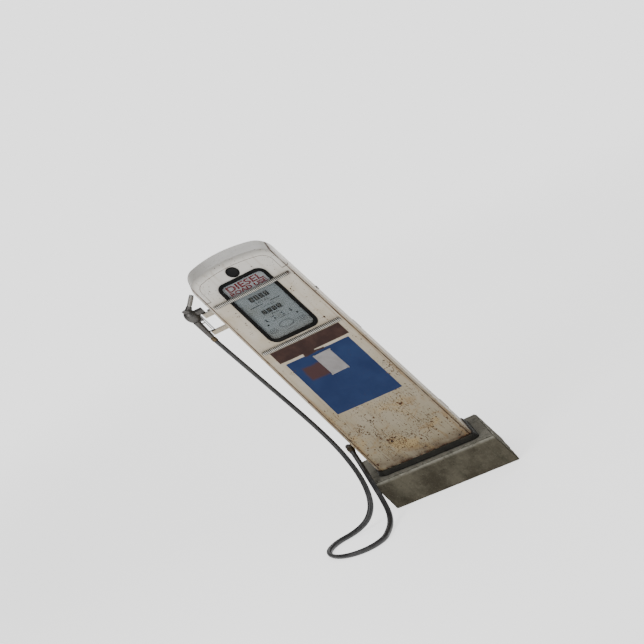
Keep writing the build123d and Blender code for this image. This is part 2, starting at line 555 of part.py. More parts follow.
def make_hose():
    radii = corner_radii(HOSE_ROUTE)
    line = FilletPolyline(*HOSE_ROUTE, radius=radii)
    hose = sweep(Plane(origin=line @ 0, z_dir=line % 0) * Circle(HOSE_R), path=line)
    save("hose", hose)
    print("hose length", round(line.length), "radii", [round(r) for r in radii])
    print("hose volume over section x length", round(hose.volume / (math.pi * HOSE_R ** 2 * line.length), 4))
    runs = [(Vector(*b) - Vector(*a)).length for a, b in zip(HOSE_ROUTE, HOSE_ROUTE[1:])]
    print("hose runs", [round(r) for r in runs])


def main():
    os.makedirs("parts", exist_ok=True)
    make_cabinet()
    make_window()
    make_bar("trim_bar_upper", BAR_TOP_Z, front_skin(-1, GASKET_PROUD + 0.3) & window_block(0.3))
    make_bar("trim_bar_lower", BAR_LOW_Z, None)
    make_base()
    make_frame()
    make_motor()
    make_belt()
    make_pump_unit()
    make_separator()
    make_meter()
    make_dial()
    make_register()
    make_lamp()
    make_bracket()
    make_nozzle()
    make_outlet()
    make_hose()


main()
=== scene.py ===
"""A vintage fuel dispenser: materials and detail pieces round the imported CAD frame. Metres."""

import math

import bmesh
import bpy
from mathutils import Matrix, Vector, noise


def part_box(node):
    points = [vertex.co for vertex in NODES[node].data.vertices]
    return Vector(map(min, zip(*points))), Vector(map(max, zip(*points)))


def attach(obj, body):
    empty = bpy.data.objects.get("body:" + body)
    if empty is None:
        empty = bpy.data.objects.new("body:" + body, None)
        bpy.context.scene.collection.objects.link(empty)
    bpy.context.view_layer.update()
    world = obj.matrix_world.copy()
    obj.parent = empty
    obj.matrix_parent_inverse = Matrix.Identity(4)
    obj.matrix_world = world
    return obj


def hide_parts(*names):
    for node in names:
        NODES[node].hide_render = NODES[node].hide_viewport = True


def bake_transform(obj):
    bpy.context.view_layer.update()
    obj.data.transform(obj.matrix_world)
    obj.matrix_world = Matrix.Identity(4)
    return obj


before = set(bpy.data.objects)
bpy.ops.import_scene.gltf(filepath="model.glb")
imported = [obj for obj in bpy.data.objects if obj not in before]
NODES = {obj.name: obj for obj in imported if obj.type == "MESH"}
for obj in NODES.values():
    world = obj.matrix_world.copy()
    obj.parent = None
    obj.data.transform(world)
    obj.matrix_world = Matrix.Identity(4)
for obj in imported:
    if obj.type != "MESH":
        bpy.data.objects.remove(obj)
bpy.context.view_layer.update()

# --- places, from the frame ---------------------------------------------------------------
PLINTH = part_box("concrete_plinth")
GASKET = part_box("window_gasket")
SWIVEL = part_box("hose_swivel")
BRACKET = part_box("nozzle_bracket")
PRICE_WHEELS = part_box("price_wheels")
HALF_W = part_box("hood")[1][0]
FRONT_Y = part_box("hood")[0][1]
DIAL_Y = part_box("dial_plate")[0][1]
SIGN_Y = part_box("grade_plate")[0][1]
WINDOW_Z = (GASKET[0][2] + GASKET[1][2]) / 2

# the front face bows forward by BOW between its sides, and its vertical edges are rounded by EDGE_R
BOW, EDGE_R = 0.010, 0.038
BOW_R = (HALF_W ** 2 + BOW ** 2) / (2 * BOW)
RIB_PITCH = 0.010

# the front cover's outline: straight to SEAM_TOP, then narrower and arched over the window
COVER_FOOT = PLINTH[1][2] + 0.035
COVER_HALF_W, SEAM_TOP = 0.250, 1.529
ARCH_HALF_W, SHOULDER_R, SHOULDER_Z = 0.223, 0.058, 1.5996
CROWN_Z, ARCH_R = 0.944, 0.734
SEAM_HALF, SEAM_TOP_HALF = 0.0035, 0.0025

# marks painted on the front cover: their sides on X, and their lower and upper edges
BLUE_X, BLUE_Z = (-0.184, 0.192), (0.606, 0.996)
BAND_X, BAND_Z = (-0.204, 0.212), (1.012, 1.095)
TONGUE_X, TONGUE_Z = (-0.060, 0.012), (1.004, 1.040)
LINE_X, LINE_Z = (-0.006, 0.060), (1.003, 1.014)
PATCH_X, PATCH_Z = (-0.128, -0.020), (0.852, 0.944)

# the paper on the front, and the sizes of its tape
NOTE_W, NOTE_H, NOTE_X, NOTE_Z, NOTE_TILT = 0.100, 0.146, 0.014, 0.903, math.radians(2.0)
TAPE_L, TAPE_HALF_W, SHEET_T = 0.013, 0.004, 0.0002

# the register: heights of its rows of windows, with their half heights, and the oval under them
WINDOW_ROWS = ((1.431, 0.0185), (1.330, 0.0160))
WINDOW_PITCH, WINDOW_HALF_W, RIM_R = 0.030, 0.0141, 0.0010
PRICE_PITCH, PRICE_HALF_W = 0.05, 0.007
OVAL_X, OVAL_Z = 0.004, 1.216

# the elbow's flange on the left side, and the ring of its screws
FLANGE_Y, FLANGE_Z, FLANGE_SCREWS_R = 0.088, 0.328, 0.026
SCREW_R = 0.0042

# the rear door's louvres: their two groups, rows and sizes
LOUVRE_BASES, LOUVRE_ROWS, LOUVRE_PITCH = (0.300, 0.900), 6, 0.022
LOUVRE_W, LOUVRE_H, LOUVRE_OUT = 0.186, 0.015, 0.0075

# the line that the spout's spring is wound round, and its turns
SPRING_START, SPRING_END, SPRING_TURNS = (-0.352, 0, 1.527), (-0.290, 0, 1.585), 11
SPRING_R, SPRING_WIRE_R = 0.0132, 0.0016

# middle line of the hose, from its coupling to the nozzle's swivel
HOSE_D = 0.028
HOSE_ROUTE = [
    (-0.303, 0.027, 0.309), (-0.307, -0.050, 0.285), (-0.312, -0.138, 0.262),
    (-0.320, -0.230, 0.231), (-0.334, -0.304, 0.174), (-0.352, -0.362, 0.106),
    (-0.372, -0.432, 0.052), (-0.402, -0.510, 0.022), (-0.436, -0.598, 0.0145),
    (-0.476, -0.694, 0.0145), (-0.575, -0.752, 0.0145), (-0.688, -0.735, 0.0145),
    (-0.764, -0.650, 0.0145), (-0.770, -0.535, 0.0145), (-0.701, -0.444, 0.0145),
    (-0.600, -0.415, 0.017), (-0.510, -0.396, 0.040), (-0.440, -0.380, 0.088),
    (-0.392, -0.352, 0.150), (-0.360, -0.290, 0.222), (-0.342, -0.210, 0.300),
    (-0.332, -0.120, 0.420), (-0.340, -0.050, 0.590), (-0.360, 0.003, 0.815),
    (-0.378, 0.004, 1.075), (-0.390, 0.000, 1.262),
]


def front_y(x):
    """Y of the bowed front face at x."""
    return FRONT_Y + BOW_R - math.sqrt(BOW_R ** 2 - x ** 2)


# --- camera, light and floor --------------------------------------------------------------
def make_camera():
    """A long lens from the front and above. Its stand is skewed, so the object leans in the view."""
    right, up, back = (0.5426, 0.6615, -0.5176), (0.6242, -0.0442, 0.7800), (0.0494, -0.9720, 0.2296)
    place = (0.910, -15.199, 4.680)
    stand = bpy.data.objects.new("camera_stand", None)
    stand.location = place
    camera = bpy.data.objects.new("camera", bpy.data.cameras.new("camera"))
    camera.data.lens = 124.7
    camera.data.clip_end = 500
    for item in (stand, camera):
        bpy.context.scene.collection.objects.link(item)
    camera.parent = stand
    camera.matrix_parent_inverse = Matrix([(*row, 0) for row in zip(right, up, back)] + [(0, 0, 0, 1)])
    bpy.context.scene.camera = camera


def make_light():
    """Soft even surroundings, and three large lamps that face the object's middle."""
    world = bpy.data.worlds.new("studio")
    world.use_nodes = True
    world.node_tree.nodes["Background"].inputs["Color"].default_value = (1, 1, 1, 1)
    world.node_tree.nodes["Background"].inputs["Strength"].default_value = 0.37
    bpy.context.scene.world = world
    for name, place, size, power in (("key", (-2.4, -3.6, 3.4), 2.2, 112),
                                     ("fill", (3.4, -2.4, 2.2), 2.6, 36),
                                     ("back", (0.6, 3.6, 3.4), 2.6, 60)):
        light = bpy.data.lights.new(name, "AREA")
        light.size, light.energy = size, power
        lamp = bpy.data.objects.new(name, light)
        lamp.location = place
        aim = Vector((0, 0, 0.9)) - Vector(place)
        lamp.rotation_euler = aim.to_track_quat("-Z", "Y").to_euler()
        bpy.context.scene.collection.objects.link(lamp)


# --- a small builder for node materials ---------------------------------------------------
class Surface:
    """One material. Each method adds a node and gives its output; places are object metres."""

    def __init__(self, name):
        self.material = bpy.data.materials.new(name)
        self.material.use_nodes = True
        self.tree = self.material.node_tree
        self.bsdf = self.tree.nodes["Principled BSDF"]
        self.output = self.tree.nodes["Material Output"]
        self.place = self.node("ShaderNodeTexCoord").outputs["Object"]
        self.x, _, self.z = self.parts(self.place)

    def node(self, kind, settings=None, **inputs):
        """Adds a node; inputs are named as on the node, with _ for a space."""
        node = self.tree.nodes.new(kind)
        for key, value in (settings or {}).items():
            setattr(node, key, value)
        for key, value in inputs.items():
            self.plug(node.inputs[key.replace("_", " ")], value)
        return node

    def plug(self, socket, value):
        """Links a socket to another one, or sets it to a constant."""
        if isinstance(value, bpy.types.NodeSocket):
            self.tree.links.new(value, socket)
        elif isinstance(value, (tuple, list)) and len(value) == 3 and socket.type == "RGBA":
            socket.default_value = (*value, 1)
        else:
            socket.default_value = value

    def math(self, operation, a, b=0.0, clamp=False):
        node = self.node("ShaderNodeMath", {"operation": operation, "use_clamp": clamp})
        self.plug(node.inputs[0], a)
        self.plug(node.inputs[1], b)
        return node.outputs[0]

    def times(self, *values):
        total = values[0]
        for value in values[1:]:
            total = self.math("MULTIPLY", total, value)
        return total

    def most(self, *values):
        total = values[0]
        for value in values[1:]:
            total = self.math("MAXIMUM", total, value)
        return total

    def less(self, value):
        """One minus a value."""
        return self.math("SUBTRACT", 1.0, value)

    def mix(self, share, a, b):
        """Colour a where share is 0 and b where it is 1."""
        node = self.node("ShaderNodeMix", {"data_type": "RGBA"})
        for socket, value in zip([node.inputs[i] for i in (0, 6, 7)], (share, a, b)):
            self.plug(socket, value)
        return node.outputs[2]

    def stretch(self, scale):
        """The place, scaled by three factors."""
        return self.node("ShaderNodeMapping", Vector=self.place, Scale=scale).outputs[0]

    def noise(self, scale, detail=4.0, rough=0.55, at=None, warp=0.0):
        node = self.node("ShaderNodeTexNoise", Vector=at or self.place, Scale=scale, Detail=detail,
                         Roughness=rough, Distortion=warp)
        return node.outputs["Fac"]

    def step(self, value, low, high):
        """A smooth rise from 0 at low to 1 at high; high may be under low."""
        node = self.node("ShaderNodeMapRange", {"interpolation_type": "SMOOTHSTEP"}, Value=value)
        ends = (high, low, 1.0, 0.0) if high < low else (low, high, 0.0, 1.0)
        for socket, end in zip(node.inputs[1:5], ends):
            socket.default_value = end
        return node.outputs[0]

    def between(self, value, low, high, soft=0.001):
        """One from low to high, with soft ends."""
        return self.times(self.step(value, low - soft, low + soft),
                          self.step(value, high + soft, high - soft))

    def wobble(self, amount, scale):
        """The place, moved about by noise, so that outlines drawn on it are uneven."""
        cloud = self.node("ShaderNodeTexNoise", Vector=self.place, Scale=scale, Detail=4.0).outputs["Color"]
        shift = self.node("ShaderNodeVectorMath", {"operation": "MULTIPLY_ADD"})
        self.plug(shift.inputs[0], cloud)
        shift.inputs[1].default_value = (amount, amount, amount)
        self.plug(shift.inputs[2], self.place)
        return shift.outputs[0]

    def spots(self, scale, share, size, at=None):
        """Uneven round spots in some of the cells of a random pattern."""
        cells = self.node("ShaderNodeTexVoronoi", Vector=at or self.place, Scale=scale)
        pick = self.node("ShaderNodeSeparateColor", Color=cells.outputs["Color"]).outputs[0]
        past = self.math("SUBTRACT", pick, self.less(share))
        grow = self.math("DIVIDE", past, self.math("ADD", share, 0.001))
        radius = self.math("MULTIPLY", self.math("MAXIMUM", grow, 0.0), size)
        return self.step(self.math("SUBTRACT", radius, cells.outputs["Distance"]), 0.0, 0.05)

    def parts(self, vector):
        """The three numbers of a vector."""
        return self.node("ShaderNodeSeparateXYZ", Vector=vector).outputs

    def bump(self, height, distance, strength=1.0, under=None):
        node = self.node("ShaderNodeBump", Height=height, Distance=distance, Strength=strength)
        if under:
            self.plug(node.inputs["Normal"], under)
        return node.outputs[0]

    def finish(self, color, rough, normal=None, **constants):
        self.plug(self.bsdf.inputs["Base Color"], color)
        self.plug(self.bsdf.inputs["Roughness"], rough)
        if normal:
            self.plug(self.bsdf.inputs["Normal"], normal)
        for key, value in constants.items():
            self.plug(self.bsdf.inputs[key.replace("_", " ")], value)
        return self.material


# --- materials ----------------------------------------------------------------------------
CREAM, CREAM_WARM, CREAM_LOW = (0.44, 0.400, 0.335), (0.35, 0.290, 0.200), (0.205, 0.172, 0.110)
CREAM_TOP = (0.50, 0.480, 0.440)
STAIN, OCHRE, EARTH = (0.19, 0.120, 0.052), (0.29, 0.200, 0.082), (0.070, 0.045, 0.026)
RUST, RUST_DARK = (0.085, 0.038, 0.019), (0.018, 0.011, 0.008)
BLUE, BLUE_WORN = (0.0040, 0.0145, 0.060), (0.008, 0.023, 0.076)
BROWN, BROWN_WORN, PATCH = (0.021, 0.008, 0.006), (0.038, 0.017, 0.012), (0.042, 0.016, 0.013)

# heights between which the paint turns lighter toward the top and darker toward the bottom, and between
# which its ageing sets in
LIGHTER_ABOVE, DARKER_BELOW, WORN = (1.38, 1.60), (1.30, 0.25), (0.72, 0.44)
GRIMY, RUSTY_FOOT, STAINED = (0.300, 0.215), (0.228, 0.209), (1.62, 1.20)


def cream_paint(s):
    """Aged cream enamel, lighter toward the top, darker and dirtier toward the ground, and a number that
    rises where it is most worn.
    """
    cloud = s.noise(3.2, 5, 0.6)
    color = s.mix(s.step(cloud, 0.38, 0.70), CREAM, CREAM_WARM)
    # the colour turns lighter toward the top
    color = s.mix(s.step(s.z, *LIGHTER_ABOVE), color, CREAM_TOP)
    # the colour turns darker toward the bottom, over most of the cabinet's height
    low = s.step(s.z, *DARKER_BELOW)
    color = s.mix(s.times(low, s.math("ADD", s.times(s.noise(5.5, 5, 0.6), 0.5), 0.68)), color, CREAM_LOW)
    ground = s.step(s.z, *WORN)
    zone = s.math("ADD", s.times(ground, 0.88), 0.10)
    ochre = s.times(s.step(s.noise(6.5, 6, 0.62, warp=0.5), 0.52, 0.66), ground)
    color = s.mix(s.times(ochre, 0.62), color, OCHRE)
    stain = s.times(s.step(s.noise(15, 6, 0.66, warp=0.8), 0.52, 0.68), zone)
    color = s.mix(s.times(stain, 0.60), color, STAIN)
    runs = s.noise(1.0, 3, 0.5, at=s.stretch((46, 46, 2.2)))
    color = s.mix(s.times(s.step(runs, 0.54, 0.74), 0.30), color, STAIN)
    grime = s.times(s.step(s.z, *GRIMY), s.step(s.noise(12, 6, 0.6), 0.22, 0.66))
    color = s.mix(s.times(grime, 0.80), color, EARTH)
    return color, zone


def rust_marks(s, zone):
    """Chips down to the steel: few near the top, many near the ground."""
    at = s.wobble(0.014, 55)
    patchy = s.step(s.noise(6.0, 4, 0.6), 0.42, 0.62)
    thick = s.math("ADD", s.times(patchy, 0.75), 0.25)
    big = s.spots(26, s.times(zone, patchy, 0.60), 0.24, at)
    mid = s.spots(55, s.times(zone, thick, 0.62), 0.34, at)
    small = s.spots(120, s.times(zone, thick, 0.80), 0.46, at)
    fine = s.spots(240, s.times(zone, patchy, 0.75), 0.58, at)
    return s.most(big, mid, small, fine)


def marks_near(s, x, z, reach, share):
    """A cluster of chips and short scuffs round one place on the face."""
    across = s.math("DIVIDE", s.math("SUBTRACT", s.x, x), reach)
    upward = s.math("DIVIDE", s.math("SUBTRACT", s.z, z), reach * 1.25)
    away = s.math("SQRT", s.math("ADD", s.times(across, across), s.times(upward, upward)))
    near = s.step(away, 1.0, 0.35)
    coarse = s.spots(80, s.times(near, share, 1.3), 0.62, s.wobble(0.035, 42))
    return s.most(coarse, s.spots(170, s.times(near, share, 1.4), 0.60, s.wobble(0.035, 42)))


# clusters of chips on the front: x, z, reach, and the share of the place that is chipped
FRONT_MARKS = (
    (0.228, 0.715, 0.050, 0.62),
    (0.215, 0.765, 0.028, 0.50),
    (-0.150, 0.469, 0.040, 0.62),
    (-0.066, 0.487, 0.030, 0.45),
    (0.089, 0.455, 0.016, 0.60),
    (-0.060, 0.332, 0.045, 0.50),
    (0.069, 0.300, 0.040, 0.40),
    (-0.116, 0.388, 0.030, 0.45),
    (-0.192, 0.935, 0.024, 0.45),
    (-0.169, 1.388, 0.020, 0.55),
    (-0.172, 1.304, 0.022, 0.45),
    (-0.184, 1.254, 0.018, 0.40),
    (0.165, 1.388, 0.016, 0.50),
    (0.170, 1.160, 0.018, 0.40),
)


def scratches(s, low_x, high_x, low_z, high_z):
    """Thin dark scuffs that run mostly upward inside a box on the face."""
    inside = s.times(s.between(s.x, low_x, high_x, 0.02), s.between(s.z, low_z, high_z, 0.06))
    lines = s.noise(1.0, 2, 0.4, at=s.stretch((330, 40, 16)), warp=0.7)
    return s.times(s.step(lines, 0.64, 0.70), inside)


def enamel(name, front=False):
    """Cream enamel with stains beside its seams, chips and rust; the front has painted marks too."""
    s = Surface(name)
    color, zone = cream_paint(s)
    side = s.math("ABSOLUTE", s.x)
    if front:
        color = front_colours(s, color)
    rust = rust_marks(s, zone)
    edge_runs = s.noise(1.0, 4, 0.6, at=s.stretch((90, 90, 3.5)))
    beside = s.times(s.between(side, 0.232, 0.264, 0.010), s.step(edge_runs, 0.40, 0.64),
                     s.step(s.z, *STAINED))
    color = s.mix(s.times(beside, 0.72), color, STAIN)
    upright = s.between(side, COVER_HALF_W - SEAM_HALF, COVER_HALF_W + SEAM_HALF, 0.0020)
    level = s.between(s.z, SEAM_TOP - SEAM_TOP_HALF, SEAM_TOP + SEAM_TOP_HALF, 0.0020)
    seam = s.most(upright, s.times(level, s.step(side, ARCH_HALF_W - 0.001, ARCH_HALF_W + 0.003)))
    worn = s.times(seam, s.math("ADD", s.times(s.step(s.noise(14, 5, 0.7), 0.34, 0.58), 0.55), 0.40))
    foot = s.times(s.step(s.z, *RUSTY_FOOT), s.step(s.noise(30, 5), 0.36, 0.56))
    flakes = s.spots(70, s.times(zone, 0.55), 0.4, s.wobble(0.02, 50))
    flaked = s.times(s.between(side, 0.236, 0.262, 0.008), flakes)
    rust = s.most(rust, worn, foot, flaked)
    if front:
        blue = s.times(s.between(s.x, *BLUE_X, 0.002), s.between(s.z, *BLUE_Z, 0.002))
        rust = s.times(rust, s.less(s.times(blue, 0.85)))
        for x, z, reach, share in FRONT_MARKS:
            rust = s.most(rust, marks_near(s, x, z, reach, share))
        rust = s.most(rust, s.times(scratches(s, -0.24, 0.24, 0.24, 0.60), 0.85))
    tone = s.mix(s.step(s.noise(150, 4), 0.40, 0.62), RUST_DARK, RUST)
    color = s.mix(rust, color, tone)
    rough = s.math("ADD", s.times(s.noise(9, 4), 0.22), s.math("ADD", s.times(rust, 0.45), 0.30))
    dents = s.bump(s.noise(4.5, 2, 0.4), 0.004, 0.35)
    peel = s.bump(s.noise(420, 2), 0.0002, 0.25, dents)
    normal = s.bump(rust, 0.0006, -0.7, peel)
    return s.finish(color, rough, normal, Specular_IOR_Level=0.16)


def front_colours(s, color):
    """Marks painted on the cover's outside: a blue square, a brown band over it and a patch."""
    plain = color
    facing = s.parts(s.node("ShaderNodeTexCoord").outputs["Normal"])
    outside = s.step(facing[1], 0.1, -0.1)
    edge = s.parts(s.wobble(0.0035, 34))
    ragged = s.parts(s.wobble(0.024, 15))
    blue_tone = s.mix(s.step(s.noise(6, 5), 0.35, 0.7), BLUE, BLUE_WORN)
    blue = s.times(s.between(edge[0], *BLUE_X, 0.0012), s.between(edge[2], *BLUE_Z, 0.0012))
    color = s.mix(blue, color, blue_tone)
    brown_tone = s.mix(s.step(s.noise(16, 5), 0.35, 0.7), BROWN, BROWN_WORN)
    band = s.times(s.between(edge[0], *BAND_X, 0.0015), s.between(edge[2], *BAND_Z, 0.002))
    tongue = s.times(s.between(ragged[0], *TONGUE_X, 0.004), s.between(ragged[2], *TONGUE_Z, 0.004))
    line = s.times(s.between(ragged[0], *LINE_X, 0.006), s.between(ragged[2], *LINE_Z, 0.003))
    color = s.mix(s.most(band, tongue, line), color, brown_tone)
    patch = s.times(s.between(ragged[0], *PATCH_X, 0.010), s.between(ragged[2], *PATCH_Z, 0.010))
    color = s.mix(s.times(patch, 0.94), color, PATCH)
    return s.mix(outside, plain, color)


def dark_paint(name, color, worn_color, z_edge=None):
    """Dark paint worn through in patches, and along a top edge at z_edge if there is one."""
    s = Surface(name)
    base = s.mix(s.step(s.noise(18, 5), 0.35, 0.7), color, tuple(1.6 * c for c in color))
    wear = s.step(s.noise(42, 6, 0.7), 0.60, 0.70)
    if z_edge:
        edge = s.times(s.step(s.z, z_edge - 0.008, z_edge), s.step(s.noise(30, 4), 0.42, 0.6))
        wear = s.most(wear, edge)
    base = s.mix(s.times(wear, 0.8), base, worn_color)
    rough = s.math("ADD", s.times(s.noise(30, 3), 0.3), 0.45)
    return s.finish(base, rough, s.bump(s.noise(120, 5), 0.0006, 0.5), Specular_IOR_Level=0.15)


def concrete():
    """Dark mossy concrete, pale where its upper rim is worn."""
    s = Surface("weathered_concrete")
    top = PLINTH[1][2]
    tone = s.mix(s.step(s.noise(7, 7, 0.65), 0.34, 0.66), (0.034, 0.029, 0.019), (0.078, 0.070, 0.050))
    tone = s.mix(s.times(s.step(s.z, top - 0.008, top + 0.001), 0.75), tone, (0.105, 0.100, 0.083))
    rim = s.times(s.step(s.z, top - 0.030, top - 0.008), s.step(s.noise(22, 6, 0.7), 0.26, 0.50))
    tone = s.mix(s.times(rim, 0.85), tone, (0.22, 0.21, 0.175))
    damp = s.step(s.noise(1.0, 4, 0.6, at=s.stretch((20, 20, 3))), 0.5, 0.7)
    tone = s.mix(s.times(damp, 0.5), tone, (0.024, 0.025, 0.015))
    grains = s.spots(260, 0.35, 0.45)
    tone = s.mix(s.times(grains, 0.35), tone, (0.16, 0.15, 0.12))
    pits = s.spots(85, 0.22, 0.30, s.wobble(0.01, 90))
    tone = s.mix(s.times(pits, 0.8), tone, (0.012, 0.011, 0.008))
    coarse = s.bump(s.noise(38, 8, 0.7), 0.004, 0.6)
    fine = s.bump(s.noise(300, 4), 0.0008, 0.6, coarse)
    return s.finish(tone, 0.94, s.bump(pits, 0.002, -0.8, fine), Specular_IOR_Level=0.2)


def fluted(name, rust_from=None):
    """A bright fluted trim bar with painted shade, near-black, in the grooves between its ribs; rust_from is
    where its end rusts.
    """
    s = Surface(name)
    phase = s.math("MULTIPLY", s.x, 2 * math.pi / RIB_PITCH)
    rib = s.step(s.math("COSINE", phase), 0.00, 0.36)
    cloud = s.noise(55, 6, 0.68)
    tone = s.mix(s.noise(28, 4), (0.64, 0.615, 0.560), (0.42, 0.400, 0.350))
    tone = s.mix(s.times(s.step(cloud, 0.58, 0.68), 0.6), tone, (0.11, 0.07, 0.04))
    # painted shade: the grooves between the ribs are coloured near-black
    tone = s.mix(rib, (0.014, 0.012, 0.010), tone)
    rust = s.step(cloud, 0.66, 0.74)
    if rust_from is not None:
        end = s.step(s.x, rust_from, rust_from + 0.06)
        rust = s.most(rust, s.times(end, s.step(cloud, 0.34, 0.56)))
    tone = s.mix(s.times(rust, 0.9), tone, s.mix(s.noise(170, 3), RUST_DARK, RUST))
    s.plug(s.bsdf.inputs["Metallic"], s.times(rib, s.less(rust), 0.55))
    rough = s.math("ADD", s.times(s.less(rib), 0.4), s.math("ADD", s.times(rust, 0.4), 0.30), clamp=True)
    return s.finish(tone, rough, s.bump(s.noise(300, 3), 0.0003, 0.35))


def metal(name, color, rough, rust, scale=60):
    """Bare or plated metal with pits and dulling; rust is the share of it that has rusted."""
    s = Surface(name)
    cloud = s.noise(scale, 6, 0.68)
    bare = 0.27 + 0.42 * (1 - rust)
    mask = s.step(s.math("SUBTRACT", cloud, bare), 0.0, 0.10)
    dull = s.noise(scale * 0.5, 4)
    tone = s.mix(dull, color, tuple(0.62 * c for c in color))
    tone = s.mix(mask, tone, s.mix(s.noise(scale * 3, 3), RUST_DARK, RUST))
    s.plug(s.bsdf.inputs["Metallic"], s.less(mask))
    polish = s.math("ADD", s.times(dull, 0.25), rough - 0.08)
    roughness = s.math("ADD", polish, s.times(mask, 0.5), clamp=True)
    normal = s.bump(s.noise(scale * 6, 3), 0.0003, 0.35)
    return s.finish(tone, roughness, s.bump(mask, 0.0004, 0.5, normal))


def rubber(name, color=(0.0035, 0.0035, 0.0033), dust=0.05):
    """Black rubber with a little dust and fine upright scuffs."""
    s = Surface(name)
    haze = s.times(s.step(s.noise(14, 6, 0.65), 0.42, 0.72), dust)
    tone = s.mix(haze, color, (0.11, 0.105, 0.095))
    scuff = s.step(s.noise(1.0, 3, at=s.stretch((160, 160, 22))), 0.68, 0.74)
    tone = s.mix(s.times(scuff, 0.35), tone, (0.12, 0.115, 0.11))
    rough = s.math("ADD", s.times(haze, 0.4), 0.52)
    return s.finish(tone, rough, s.bump(s.noise(230, 4), 0.0004, 0.5), Specular_IOR_Level=0.06)


def hose_rubber():
    """Black rubber hose: cloth marks, scuffs and dust."""
    s = Surface("hose_rubber")
    uv = s.node("ShaderNodeTexCoord").outputs["UV"]
    along, around, _ = s.parts(uv)
    girth, threads = 0.088, 900.0
    weave = s.math("SINE", s.math("MULTIPLY", s.math("ADD", along, s.times(around, girth)), threads))
    cross = s.math("SINE", s.math("MULTIPLY", s.math("SUBTRACT", along, s.times(around, girth)), threads))
    cloth = s.times(s.math("ADD", weave, cross), 0.5)
    dust = s.step(s.noise(20, 6, 0.7), 0.45, 0.72)
    tone = s.mix(s.times(dust, 0.35), (0.013, 0.013, 0.014), (0.085, 0.082, 0.075))
    scuff = s.step(s.noise(95, 3, 0.5), 0.66, 0.73)
    tone = s.mix(s.times(scuff, 0.5), tone, (0.15, 0.145, 0.135))
    fine = s.bump(cloth, 0.00035, 0.55)
    return s.finish(tone, s.math("ADD", s.times(dust, 0.3), 0.36), s.bump(s.noise(70, 4), 0.0012, 0.5, fine))


def window_pane():
    """Old glass: mostly clear, with a sheen and a film of dust toward its lower edge."""
    s = Surface("window_pane")
    clear = s.node("ShaderNodeBsdfTransparent", Color=(0.90, 0.93, 0.93)).outputs[0]
    gloss = s.node("ShaderNodeBsdfGlossy", Color=(0.55, 0.56, 0.58), Roughness=0.04).outputs[0]
    film = s.node("ShaderNodeBsdfDiffuse", Color=(0.30, 0.285, 0.25)).outputs[0]
    sheen = s.node("ShaderNodeFresnel", IOR=1.28).outputs[0]
    pane = s.node("ShaderNodeMixShader", Fac=sheen)
    s.plug(pane.inputs[1], clear)
    s.plug(pane.inputs[2], gloss)
    low = s.step(s.z, WINDOW_Z - 0.12, WINDOW_Z - 0.215)
    dust = s.math("ADD", s.times(s.step(s.noise(9, 6, 0.65), 0.45, 0.75), 0.05), s.times(low, 0.10))
    whole = s.node("ShaderNodeMixShader", Fac=dust)
    s.plug(whole.inputs[1], pane.outputs[0])
    s.plug(whole.inputs[2], film)
    s.plug(s.output.inputs["Surface"], whole.outputs[0])
    s.tree.nodes.remove(s.bsdf)
    return s.material


def printed(name, color, rough=0.5):
    """Ink or paint on the dial, slightly uneven and faded."""
    s = Surface(name)
    fade = s.step(s.noise(60, 5), 0.35, 0.75)
    tone = s.mix(s.times(fade, 0.30), color, tuple(0.6 * c + 0.03 for c in color))
    grain = s.bump(s.noise(500, 2), 0.0001, 0.4)
    return s.finish(tone, s.math("ADD", s.times(s.noise(90, 2), 0.15), rough), grain, Specular_IOR_Level=0.1)


def dial_enamel(name, color, spot_share=0.12):
    """A pale enamelled plate with brown spots in some share of its places."""
    s = Surface(name)
    tone = s.mix(s.step(s.noise(10, 5), 0.35, 0.72), color, tuple(0.80 * c for c in color))
    marks = s.spots(120, spot_share, 0.3, s.wobble(0.006, 120))
    tone = s.mix(s.times(marks, 0.7), tone, (0.12, 0.075, 0.04))
    tone = s.mix(s.times(s.step(s.noise(5, 4), 0.5, 0.8), 0.3), tone, (0.26, 0.21, 0.14))
    ripple = s.bump(s.noise(260, 3), 0.0002, 0.4)
    return s.finish(tone, s.math("ADD", s.times(s.noise(25, 3), 0.2), 0.40), ripple, Specular_IOR_Level=0.2)


def paper():
    """Weathered paper, a little cockled and spotted by damp."""
    s = Surface("taped_paper")
    tone = s.mix(s.step(s.noise(13, 5), 0.35, 0.7), (0.225, 0.214, 0.214), (0.170, 0.160, 0.155))
    damp = s.step(s.noise(24, 5, 0.6), 0.62, 0.72)
    tone = s.mix(s.times(damp, 0.35), tone, (0.20, 0.15, 0.09))
    return s.finish(tone, 0.85, s.bump(s.noise(75, 4), 0.0006, 0.6))


def floor_paint():
    """Pale studio floor that fades into the background far from the object."""
    s = Surface("studio_floor")
    tone = s.mix(s.noise(1.5, 3), (0.80, 0.80, 0.79), (0.83, 0.83, 0.82))
    grain = s.bump(s.noise(90, 3), 0.0004, 0.2)
    s.finish(tone, 0.75, grain, Emission_Color=(1, 1, 1), Emission_Strength=1.35)
    glow = s.node("ShaderNodeEmission", Color=(1, 1, 1), Strength=2.15).outputs[0]
    far = s.node("ShaderNodeVectorMath", {"operation": "LENGTH"}, Vector=s.place).outputs["Value"]
    blend = s.node("ShaderNodeMixShader", Fac=s.step(far, 2.0, 7.0))
    s.plug(blend.inputs[1], s.bsdf.outputs[0])
    s.plug(blend.inputs[2], glow)
    s.plug(s.output.inputs["Surface"], blend.outputs[0])
    return s.material


# --- mesh helpers -------------------------------------------------------------------------
def new_object(name, bm, material):
    """An object from a bmesh, smooth except at its sharp edges."""
    mesh = bpy.data.meshes.new(name)
    bm.to_mesh(mesh)
    bm.free()
    piece = bpy.data.objects.new(name, mesh)
    bpy.context.scene.collection.objects.link(piece)
    mesh.materials.append(material)
    for face in mesh.polygons:
        face.use_smooth = True
    mesh.set_sharp_from_angle(angle=math.radians(35))
    return piece


def add_piece(name, bm, material, body):
    """A finished piece that rides on a body."""
    piece = new_object(name, bm, material)
    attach(piece, body)
    return piece


def thicken(piece, thickness):
    piece.modifiers.new("thickness", "SOLIDIFY").thickness = thickness


